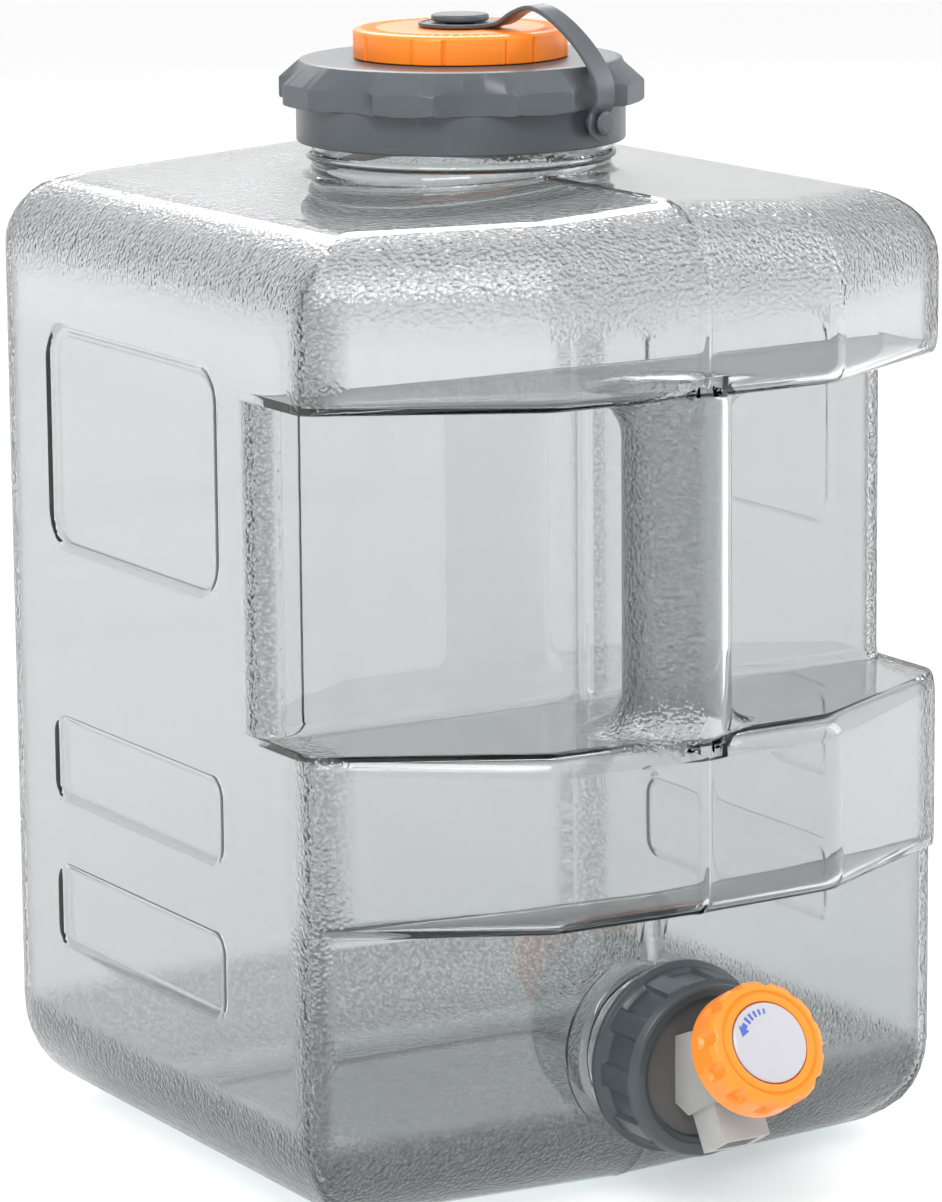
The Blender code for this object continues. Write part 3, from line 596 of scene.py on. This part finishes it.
def postForm(name, inset):
    radius, flare, steps = jug["postRadius"] - inset, jug["flare"], 72
    low, high = jug["bumperHigh"] - inset, jug["shoulderLow"] + inset
    past = 9 if inset == 0 else 5
    rises = [(flare + inset) * (1 - cos(pi / 2 * k / 8)) for k in range(9)]
    heights = [low - past] + [low + rise for rise in rises]
    heights += list(np.linspace(heights[-1] + 6, high - flare - inset - 6, 8))
    heights += [high - rise for rise in rises[::-1]] + [high + past]
    points = []
    for z in heights:
        away = max(min(z - low, high - z), 0.0)
        for j in range(steps):
            t = 2 * pi * j / steps
            cove = flare * float(smoothStep(-0.75, 0.1, sin(t))) + inset
            grow = cove - sqrt(max(cove ** 2 - max(cove - away, 0.0) ** 2, 0.0)) if cove > 0.01 else 0.0
            ridge = 0.35 * max(0.0, 1 - abs(cos(t)) * radius / 1.7) if inset == 0 and sin(t) < 0 else 0.0
            reach = radius + grow + ridge
            points.append((reach * cos(t), jug["postY"] + reach * sin(t), z))
    return linkMesh(name, points, rowFaces(len(heights), steps, capped=True))


def neckForm(name, inner):
    steps = 120
    heights = [330.0] + list(np.arange(338.4, 345, 0.5)) + list(np.arange(345, 348, 0.35))
    heights += list(np.arange(348.2, neck["top"] - 1.2, 0.7))
    radius = neck["radius"] - (neck["wall"] if inner else 0)
    if inner:
        heights = [327.0, 340.0, 360.0, neck["top"] + 5]
    else:
        heights += [neck["top"] - 0.9, neck["top"] - 0.35, neck["top"]]
    points = []
    for z in heights:
        for j in range(steps):
            t = 2 * pi * j / steps
            reach = radius
            if not inner:
                foot = 342.4 - 0.06 * abs(radius * cos(t))
                away = min(max(z - foot, 0.0), 4.0)
                reach += 4 - sqrt(16 - (4 - away) ** 2)
                if abs(z - neck["bead"]) < 1.5:
                    reach += 2.0 * max(0.0, 1 - ((z - neck["bead"]) / 1.5) ** 2) ** 0.5
                for turn in range(-1, 4):
                    line = 352.5 + neck["pitch"] * (turn + j / steps)
                    if 353.5 < line < 368.5:
                        starts = float(smoothStep(353.5, 355, line))
                        ends = float(smoothStep(368.5, 367, line))
                        reach += 1.5 * float(smoothStep(1.3, 0.3, abs(z - line))) * starts * ends
                if z > neck["top"] - 1:
                    reach -= 1 - sqrt(max(0.0, 1 - (z - neck["top"] + 1) ** 2))
            points.append((reach * cos(t), neck["y"] + reach * sin(t), z))
    return linkMesh(name, points, rowFaces(len(heights), steps, capped=True))


def tapNeckForm(name, inner):
    if inner:
        profile = [
            (0, 70), (tapLine["bore"], 70), (tapLine["bore"], tapLine["end"] + 5),
            (0, tapLine["end"] + 5),
        ]
    else:
        profile = softened([
            (0, 77.2, 0), (33, 77.2, 0), (33, 79.2, 0), (tapLine["seat"], 80.6, 3.5),
            (tapLine["seat"], tapLine["seatY"], 1.5),
            (tapLine["radius"], tapLine["seatY"], 0.8), (tapLine["radius"], tapLine["end"], 0.8),
            (0, tapLine["end"], 0),
        ])
    obj = turned(name, profile, 80)
    return moved(obj, facingFront())


def facingFront():
    return Matrix.Translation((0, 0, tapLine["z"])) @ Matrix.Rotation(pi / 2, 4, "X")


def pebbleMask(p):
    # grained at the soft edges of the mould, its corners and the grip; the second map, tone, is painted shade
    x, y, z = abs(p[:, 0]), p[:, 1], p[:, 2]
    crownLine = 339 - 0.06 * x
    top = smoothStep(300, 326, z) * smoothStep(crownLine - 0.6, crownLine - 3.0, z - 3.0)
    foot = smoothStep(40, 30, z) * smoothStep(1.0, 4.0, z)
    inRecess = smoothStep(166, 169, z) * smoothStep(281, 278, z)
    corner = np.where(inRecess > 0.5, jug["recess"], jug["cornerY"])
    behind, before = smoothStep(corner + 14, corner + 11, y), smoothStep(corner - 8, corner - 5, y)
    strip = smoothStep(117.5, 119.5, x) * behind * before
    rear = smoothStep(114, 118, x) * smoothStep(143, 148, y)
    along = np.hypot(p[:, 0], y - jug["postY"])
    overShelf, underShelf = smoothStep(160, 168, z), smoothStep(286, 280, z)
    post = smoothStep(31, 26, along) * overShelf * underShelf * smoothStep(1.5, -3.0, p[:, 0])
    pebble = np.clip(np.maximum.reduce([top, foot, strip, rear, post]), 0, 1)
    out = np.hypot(p[:, 0], y - neck["y"])
    # painted shade: a darker band at the neck's foot
    collar = smoothStep(337, 340, z) * smoothStep(350, 343, z) * smoothStep(72, 60, out)
    # painted shade: darker low on the body, fading towards the shoulder and gone above it
    wall = (0.45 - 0.15 * smoothStep(100, 280, z)) * smoothStep(300, 270, z)
    # less painted shade on the base's front below the bumper
    wall = np.where((y < -60) & (z < 104), 0.28, wall)
    # painted shade also at the foot, the corner strips and the rear corners
    tone = np.clip(np.maximum.reduce([wall, 0.9 * foot, 0.55 * strip, 0.4 * rear, collar]), 0, 1)
    # much less painted shade close to the grip post inside the recess
    tone *= 1 - 0.9 * smoothStep(34, 26, along) * inRecess
    return pebble, tone


def makeBoss(material):
    # a small moulded arch on the wall over the tap
    arch = {"wide": 4.6, "low": 91.0, "high": 99.5, "thick": 1.9, "wall": -80.2}
    turns = [pi * k / 14 for k in range(15)]
    crown = [(-arch["wide"] * cos(t), arch["high"] + arch["wide"] * sin(t)) for t in turns]
    line = [(-arch["wide"], arch["low"])] + crown + [(arch["wide"], arch["low"])]
    points = []
    for i, (x, z) in enumerate(line):
        a, b = line[max(i - 1, 0)], line[min(i + 1, len(line) - 1)]
        way = Vector((b[0] - a[0], b[1] - a[1])).normalized()
        for k in range(16):
            t = 2 * pi * k / 16
            off = arch["thick"] * cos(t) * (0.35 if i in (0, len(line) - 1) else 1)
            depth = arch["wall"] + 0.25 * abs(x) / 4 - arch["thick"] * sin(t) * 0.9
            points.append((x - way.y * off, depth, z + way.x * off))
    boss = linkMesh("wallArch", points, rowFaces(len(line), 16, capped=True))
    welded(boss)
    for name in ("pebble", "tone"):
        boss.data.attributes.new(name, "FLOAT", "POINT")
    finished(dress(boss, material, 60), "jug", "clear_body")


def makeJug():
    shell = jugForm("jugShell", 0.0)
    extras = oneMesh([postForm("post", 0.0), neckForm("neck", False), tapNeckForm("tapNeck", False)])
    combined(shell, extras, "UNION")
    hollow = jugForm("hollow", jug["wall"])
    extras = oneMesh([postForm("post", jug["wall"]), neckForm("neck", True), tapNeckForm("tapNeck", True)])
    combined(hollow, extras, "UNION")
    combined(shell, hollow, "DIFFERENCE")
    dress(shell, clearPlastic(), 50)
    # the tone attribute stored here carries painted shade for the clear plastic's colour
    co = np.array([v.co for v in shell.data.vertices]) * 1000
    for name, values in zip(("pebble", "tone"), pebbleMask(co)):
        shell.data.attributes.new(name, "FLOAT", "POINT").data.foreach_set(
            "value", values.astype(np.float32),
        )
    shell.modifiers.new("evenNormals", "WEIGHTED_NORMAL").keep_sharp = True
    makeBoss(shell.data.materials[0])
    finished(shell, "jug", "clear_body", "jug_body")
    print("jug body", len(shell.data.polygons), "faces")


# Lid, pour cap, vent and strap

lidPlace = Matrix.Translation((0, neck["y"], 0))


def frontTurn(degrees):
    # the angle about Z of a bearing counted from the front towards the right
    return radians(degrees - 90)


def makeLid(material):
    lid = {"scallops": 8, "first": -26.0, "centre": 79.2, "radius": 22.0, "flat": 63.2}
    profile = softened([
        (54.3, 350.9, 0.3), (57.1, 350.9, 0.8), (57.1, 364.6, 0.6), (64.0, 364.6, 1.1), (64.0, 371.7, 1.6),
        (55.6, 378.9, 1.6), (54.0, 379.2, 0.5), (31.0, 379.2, 0.8), (31.0, 384.4, 0.5), (27.0, 384.4, 0.5),
        (27.0, 375.0, 0.3), (54.3, 375.0, 0.3),
    ])

    def lobes(t, r, z):
        if z < 364.2 or r < 40:
            return r, z
        off = (t - frontTurn(lid["first"])) % (2 * pi / lid["scallops"])
        off = min(off, 2 * pi / lid["scallops"] - off)
        under = lid["radius"] ** 2 - (lid["centre"] * sin(off)) ** 2
        bite = lid["centre"] * cos(off) - sqrt(under) if under > 0 else 70.0
        r = min(r, lid["flat"] / cos(pi / lid["scallops"] - off))  # the lobes have flat faces
        blend = 0.35
        mix = max(0.0, min(1.0, 0.5 + 0.5 * (bite - r) / blend))
        return bite * (1 - mix) + r * mix - blend * mix * (1 - mix), z

    obj = turned("screwLid", profile, 576, lobes)
    dress(moved(obj, lidPlace), material, 38)
    return finished(obj, "lid", "lid_grey", "screw_lid")


def makePourCap(material):
    grips = 7
    profile = softened([
        (33.2, 379.5, 0.3), (37.3, 379.5, 0.5), (37.3, 387.3, 0), (37.3, 388.2, 0), (36.6, 389.1, 0.4),
        (35.2, 389.5, 0.4),
        (34.3, 389.5, 0.1), (33.9, 388.9, 0.1), (29.6, 388.9, 0.1), (29.2, 389.5, 0.1),
        (6.2, 389.5, 0.3), (6.2, 388.0, 0.2), (4.2, 388.0, 0.2), (4.2, 386.5, 0.2), (33.2, 386.5, 0.3),
    ], 3)

    def gripped(t, r, z):
        if r < 34.0:
            if 29.5 < r < 34.0 and z > 388.5:
                return r, z + 0.6 * float(smoothStep(-0.2, 0.3, cos(60 * t)))
            return r, z
        part = ((t - frontTurn(-40.5)) % (2 * pi / grips)) / (2 * pi / grips)
        edge = min(abs(part - 0.02), abs(part - 0.68), abs(part - 1.02))
        groove = 0.75 * float(smoothStep(0.022, 0.008, edge)) * float(smoothStep(388.4, 386.6, z))
        panel = 0.25 * float(smoothStep(0.66, 0.64, part)) * float(smoothStep(388.6, 387.0, z))
        return r - groove - panel, z

    obj = turned("pourCap", profile, 720, gripped)
    dress(moved(obj, lidPlace), material, 40)
    return finished(obj, "cap", "orange", "pour_cap")


def makeVentPlug(material):
    profile = softened([
        (0, 379.5, 0), (2.6, 379.5, 0.4), (3.7, 381.5, 0.4), (3.7, 389.8, 0.2), (5.0, 389.8, 0.2),
        (5.0, 391.6, 0.2),
        (9.6, 391.6, 0.5), (10.0, 392.2, 0.4), (10.0, 393.4, 0.6), (9.2, 394.0, 0.5), (4.4, 393.7, 0.6),
        (0, 393.5, 0),
    ])
    obj = turned("ventPlug", profile, 96)
    dress(moved(obj, lidPlace), material)
    return finished(obj, "vent", "lid_grey", "vent_plug")


strap = {
    "bearing": 20.0, "wide": 10.0, "thick": 1.5, "studZ": 360.0,
    "guides": (
        (13.0, 390.5), (20.0, 392.1), (27.0, 396.1), (34.5, 397.9), (44.0, 393.9), (54.5, 385.5),
        (61.8, 375.9), (63.2, 368.0), (61.1, 363.0),
    ),
}


def towardsStud(obj):
    tip = Matrix.Translation((0, 0, strap["studZ"])) @ Matrix.Rotation(pi / 2, 4, "Y")
    return moved(obj, lidPlace @ Matrix.Rotation(frontTurn(strap["bearing"]), 4, "Z") @ tip)


def curveThrough(guides, parts):
    guides = [Vector(g) for g in guides]
    out = []
    for i in range(len(guides) - 1):
        a, b = guides[i], guides[i + 1]
        before, after = guides[max(i - 1, 0)], guides[min(i + 2, len(guides) - 1)]
        square = 2 * before - 5 * a + 4 * b - after
        cube = 3 * a - before - 3 * b + after
        for k in range(parts):
            t = k / parts
            out.append(0.5 * (2 * a + (b - before) * t + square * t * t + cube * t ** 3))
    return out + [guides[-1]]


def makeStrap(material):
    route = curveThrough(strap["guides"], 7)
    section = [
        (-0.5, -0.30), (-0.46, -0.5), (0.46, -0.5), (0.5, -0.30), (0.5, 0.30), (0.46, 0.5), (0.30, 0.42),
        (-0.30, 0.42), (-0.46, 0.5), (-0.5, 0.30),
    ]
    points = []
    for i, here in enumerate(route):
        along = route[min(i + 1, len(route) - 1)] - route[max(i - 1, 0)]
        across = Vector((-along.y, along.x)).normalized()
        for side, thick in section:
            spot = here + across * thick * strap["thick"]
            points.append((spot.x, side * strap["wide"], spot.y))
    band = linkMesh("strapBand", points, rowFaces(len(route), len(section), capped=True))
    welded(band)
    moved(band, lidPlace @ Matrix.Rotation(frontTurn(strap["bearing"]), 4, "Z"))
    profile = softened([
        (5.4, 389.8, 0.4), (14.4, 389.8, 0.5), (14.6, 391.3, 0.5), (13.4, 391.3, 0.2),
        (12.8, 390.9, 0.2), (5.4, 390.9, 0.3),
    ])
    eye = turned("strapEye", profile, 96)
    moved(eye, lidPlace)
    profile = softened([(2.9, 60.3, 0.3), (6.2, 60.3, 0.4), (6.4, 61.8, 0.5), (2.9, 61.8, 0.3)])
    lower = turned("strapFoot", profile, 64)
    towardsStud(lower)
    obj = oneMesh([band, eye, lower])
    obj.name = "retainingStrap"
    dress(obj, material)
    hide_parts("retaining_strap")
    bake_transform(obj)
    return obj


def makeStud(material):
    profile = softened([
        (0, 54.7, 0), (2.5, 54.7, 0.2), (2.5, 57.5, 0.1), (3.8, 57.5, 0.3), (3.8, 60.0, 0.2),
        (2.5, 60.0, 0.1),
        (2.5, 62.9, 0.1), (4.2, 62.9, 0.3), (4.2, 63.8, 0.4), (3.2, 64.5, 0.5), (0, 64.5, 0),
    ])
    obj = dress(towardsStud(turned("strapStud", profile, 64)), material)
    return finished(obj, "lid", "lid_grey", "strap_stud")


# Tap

valve = {"y": -120.1, "tilt": 30.0, "knob": 21.5, "rear": 21.0, "front": 36.5, "notches": 12}


def onValve():
    tilt = Matrix.Rotation(pi / 2 - radians(valve["tilt"]), 4, "X")
    return Matrix.Translation((0, valve["y"], tapLine["z"])) @ tilt


def makeNut(material):
    ribs, rear, front = 10, 93.8, 115.8
    profile = softened([
        (24.6, rear, 0.2), (32.5, rear, 0.3), (33.0, rear + 0.6, 0.3), (33.0, rear + 2.6, 0.5),
        (31.2, rear + 3.2, 0.4),
        (31.0, rear + 4.2, 0), (30.9, rear + 5.0, 0), (30.7, front - 4.2, 0), (30.6, front - 3.4, 0),
        (30.4, front - 2.6, 0.8),
        (29.2, front - 0.4, 0.8), (28.0, front, 0.5), (25.4, front, 0.4), (25.0, front - 0.5, 0.3),
        (23.4, front - 1.6, 0.3),
        (22.8, front - 3.5, 0.2), (24.6, front - 3.5, 0.2),
    ])

    def panels(t, r, z):
        if r < 30.2 or not rear + 3.4 < z < front - 2.7:
            return r, z
        part = ((t - radians(9)) * ribs / (2 * pi)) % 1
        dip = float(smoothStep(0.0, 0.05, part)) * float(smoothStep(0.62, 0.57, part))
        inner = float(smoothStep(rear + 3.8, rear + 4.8, z))
        outer = float(smoothStep(front - 3.0, front - 4.0, z))
        return r - 1.5 * dip * inner * outer, z

    obj = turned("tapNut", profile, 400, panels)
    dress(moved(obj, facingFront()), material, 38)
    return finished(obj, "nut", "nut_grey", "tap_nut")


def makeKnob(material):
    rear, front, radius = valve["rear"], valve["front"], valve["knob"]
    profile = softened([
        (18.6, rear, 0.2), (radius - 0.8, rear, 0.6), (radius, rear + 1.2, 0.6), (radius, 26.2, 0),
        (radius, 27.0, 0), (radius, 28.0, 0), (radius, 31.0, 0),
        (radius, front - 2.6, 1.0), (radius - 1.0, front - 0.6, 0.8), (radius - 2.6, front, 0.6),
        (17.9, front, 0.3), (17.5, front - 0.7, 0.2),
        (17.0, front - 0.7, 0.2), (16.6, front, 0.3), (14.1, front, 0.3), (14.0, 35.0, 0.2),
        (5.0, 35.0, 0.1), (5.0, 33.0, 0.1), (1.9, 33.0, 0.1),
        (1.9, 31.1, 0.1), (4.3, 31.1, 0.1), (4.3, 22.4, 0.1), (8.0, 22.4, 0.1), (8.0, 30.4, 0.1),
        (18.6, 30.4, 0.1),
    ])

    def notched(t, r, z):
        if r < 18.5 or z < 26.0:
            return r, z
        step = 2 * pi / valve["notches"]
        off = abs((t % step) - step / 2)
        centre, size = radius + 1.3, 3.1
        under = size ** 2 - (centre * sin(off)) ** 2
        bite = centre * cos(off) - sqrt(under) if under > 0 else 30.0
        bite += (1 - float(smoothStep(26.2, 27.6, z))) * 4
        return min(r, max(bite, 18.55)), z

    obj = turned("tapKnob", profile, 480, notched)
    dress(moved(obj, onValve()), material, 42)
    return finished(obj, "valve", "orange", "tap_knob")


def makeKnobCap(material, ink):
    profile = softened([(0, 35.3, 0), (13.6, 35.3, 0.2), (13.6, 36.6, 0.3), (13.0, 37.05, 0.3), (0, 37.1, 0)])
    obj = dress(moved(turned("knobDisc", profile, 128), onValve()), material)
    finished(obj, "valve", "white", "knob_cap")
    # a row of bars that grows towards an arrowhead, bent round the disc's edge
    points, faces = [], []

    def patch(corners):
        start = len(points)
        for bearing, reach in corners:
            points.append((reach * cos(bearing), reach * sin(bearing), 37.14))
        faces.append(tuple(range(start, start + len(corners))))

    line = 10.5
    for k in range(5):
        middle = radians(86 + 10.5 * k)
        wide = radians(1.9 + 0.25 * k)
        grow = 0.9 + 0.12 * k
        patch([
            (middle - wide, line - grow), (middle - wide, line + grow), (middle + wide, line + grow),
            (middle + wide, line - grow),
        ])
    patch([
        (radians(136), line - 1.0), (radians(136), line + 1.0), (radians(145), line + 1.0),
        (radians(145), line - 1.0),
    ])
    patch([(radians(145), line - 2.2), (radians(145), line + 2.0), (radians(162), line)])
    mark = linkMesh("discMarks", points, faces)
    dress(moved(mark, onValve()), ink)
    finished(mark, "valve", "white")


def roundedCopy(node, name, material, body, slot, width=0.7, angle=35):
    # the node's own shape with its edges rounded
    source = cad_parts[node]
    obj = bpy.data.objects.new(name, source.data.copy())
    bpy.context.scene.collection.objects.link(obj)
    work = bmesh.new()
    work.from_mesh(obj.data)
    bmesh.ops.remove_doubles(work, verts=work.verts, dist=0.00001)
    bmesh.ops.dissolve_limit(work, angle_limit=radians(1.0), verts=work.verts, edges=work.edges)
    bmesh.ops.recalc_face_normals(work, faces=work.faces)
    work.to_mesh(obj.data)
    work.free()
    bevel = obj.modifiers.new("soft", "BEVEL")
    bevel.width = width * mm
    bevel.segments = 3
    bevel.limit_method = "ANGLE"
    bevel.angle_limit = radians(angle)
    bevel.use_clamp_overlap = True
    dress(obj, material, 50)
    return finished(obj, body, slot, node)


def main():
    makeStage()
    makeJug()
    lidGrey = plastic("lidPlastic", (0.068, 0.079, 0.089), (0.105, 0.120, 0.133), 0.36, 1100, 0.10)
    nutGrey = plastic("nutPlastic", (0.035, 0.045, 0.050), (0.06, 0.07, 0.078), 0.36, 1100, 0.10)
    orange = plastic("orangePlastic", (0.96, 0.235, 0.012), (0.98, 0.28, 0.03), 0.32, 900, 0.08)
    tapGrey = plastic("tapPlastic", (0.35, 0.35, 0.34), (0.42, 0.42, 0.41), 0.36, 900, 0.10)
    flange = plastic("flangePlastic", (0.078, 0.078, 0.076), (0.108, 0.108, 0.105), 0.48, 900, 0.12)
    white = plastic("whitePlastic", (0.44, 0.435, 0.47), (0.48, 0.475, 0.505), 0.34, 900, 0.06)
    ink = plastic("blueInk", (0.06, 0.10, 0.42), (0.09, 0.14, 0.50), 0.42, 900, 0.04)
    pale = plastic("sealRubber", (0.50, 0.51, 0.51), (0.58, 0.58, 0.58), 0.60, 700, 0.2)
    black = plastic("blackRubber", (0.018, 0.018, 0.018), (0.04, 0.04, 0.04), 0.55, 700, 0.2)
    steel = plastic("screwSteel", (0.56, 0.57, 0.58), (0.42, 0.43, 0.44), 0.28, 1500, 0.15)
    shader = next(n for n in steel.node_tree.nodes if n.type == "BSDF_PRINCIPLED")
    shader.inputs["Metallic"].default_value = 1.0
    makeLid(lidGrey)
    makePourCap(orange)
    makeVentPlug(lidGrey)
    makeStrap(lidGrey)
    makeStud(lidGrey)
    print("lid ready")
    makeNut(nutGrey)
    makeKnob(orange)
    makeKnobCap(white, ink)
    roundedCopy("tap_body", "tapBody", tapGrey, "tap", "tap_grey", 0.8)
    profile = softened([
        (9.0, 110.6, 0), (23.8, 110.6, 0.3), (23.8, 112.0, 0.4), (22.9, 112.0, 0.2),
        (22.5, 111.7, 0.2), (9.0, 111.7, 0),
    ])
    ring = turned("tapFlange", profile, 128)
    finished(dress(moved(ring, facingFront()), flange), "tap", "flange_grey", "tap_washer")
    print("tap ready")
    for node, material in (
        ("lid_gasket", pale), ("cap_gasket", pale), ("vent_seal", black), ("tap_gasket", black),
        ("valve_gland", tapGrey),
        ("valve_rotor", white), ("valve_oring_inner", black), ("valve_oring_outer", black),
        ("knob_screw", steel),
    ):
        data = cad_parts[node].data
        data.materials.clear()
        data.materials.append(material)


main()
